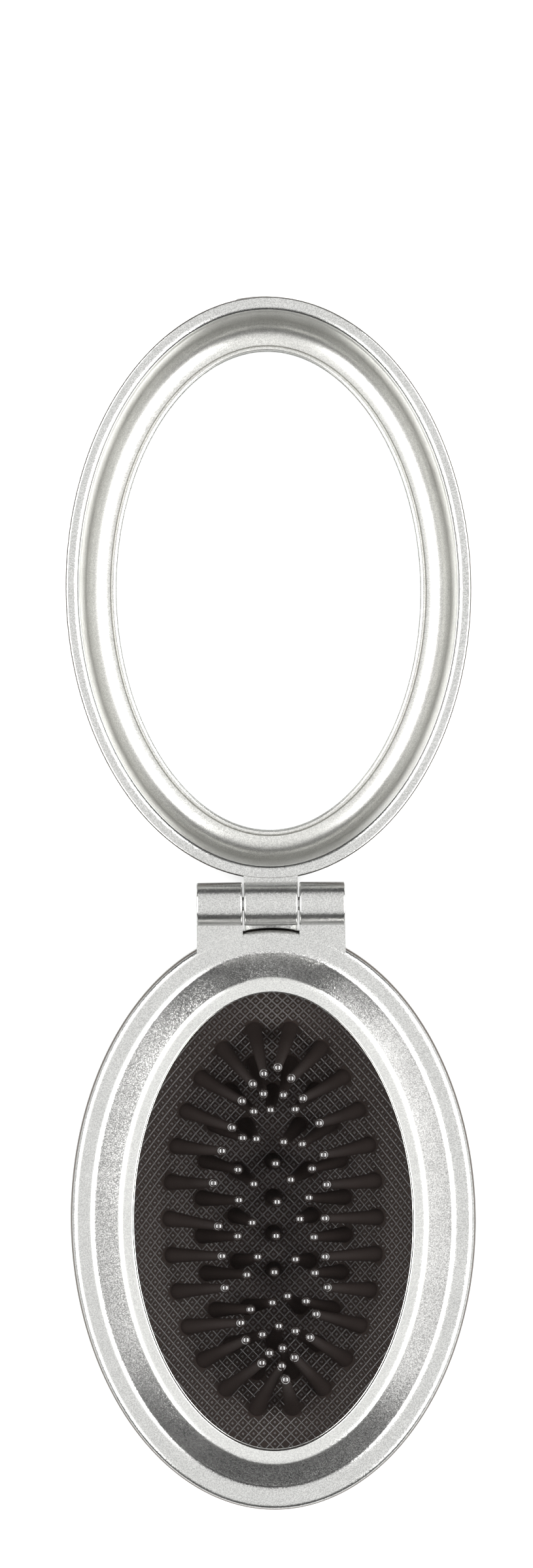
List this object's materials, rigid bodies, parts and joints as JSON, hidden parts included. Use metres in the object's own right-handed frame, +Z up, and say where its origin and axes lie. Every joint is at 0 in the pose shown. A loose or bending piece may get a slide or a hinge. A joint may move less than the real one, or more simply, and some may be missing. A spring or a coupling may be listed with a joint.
{
  "type": "folding pocket hairbrush with mirror",
  "caption": "Pocket hairbrush that folds like a compact: an oval case with ball-tipped pins in a sunken rubber pad, hinged to an oval lid that holds a mirror.",
  "frame": {"origin": "on the surface that the opened object lies on, under the middle of the hinge", "axes": "+Z up, +X along the hinge, +Y from the hinge towards the mirror lid"},
  "size_m": [0.06, 0.1797, 0.0239],
  "materials": {
    "silver": "metallic silver lacquer with fine glitter",
    "rubber": "satin black rubber with a fine raised lozenge grid",
    "pins": "smooth black nylon",
    "mirror": "silvered glass",
    "tape": "white foam",
    "steel": "plain wire"
  },
  "bodies": {
    "brush_half": {"base_shell": "silver", "brush_bezel": "silver", "pad_ring": "silver", "rubber_pad": "rubber", "outer_pins_left": "pins", "outer_pins_right": "pins", "middle_pins_left": "pins", "middle_pins_right": "pins", "inner_pins_left": "pins", "inner_pins_right": "pins", "inner_pins_ends": "pins", "centre_pins": "pins", "hinge_pin": "steel"},
    "lid": {"lid_shell": "silver", "mirror_frame": "silver", "mirror_tape": "tape", "mirror_glass": "mirror"}
  },
  "joints": [
    {"name": "lid_hinge", "type": "hinge", "parent": "brush_half", "child": "lid", "pos_m": [0, 0, 0.014], "axis": [1, 0, 0], "range_deg": [0, 180]}
  ]
}
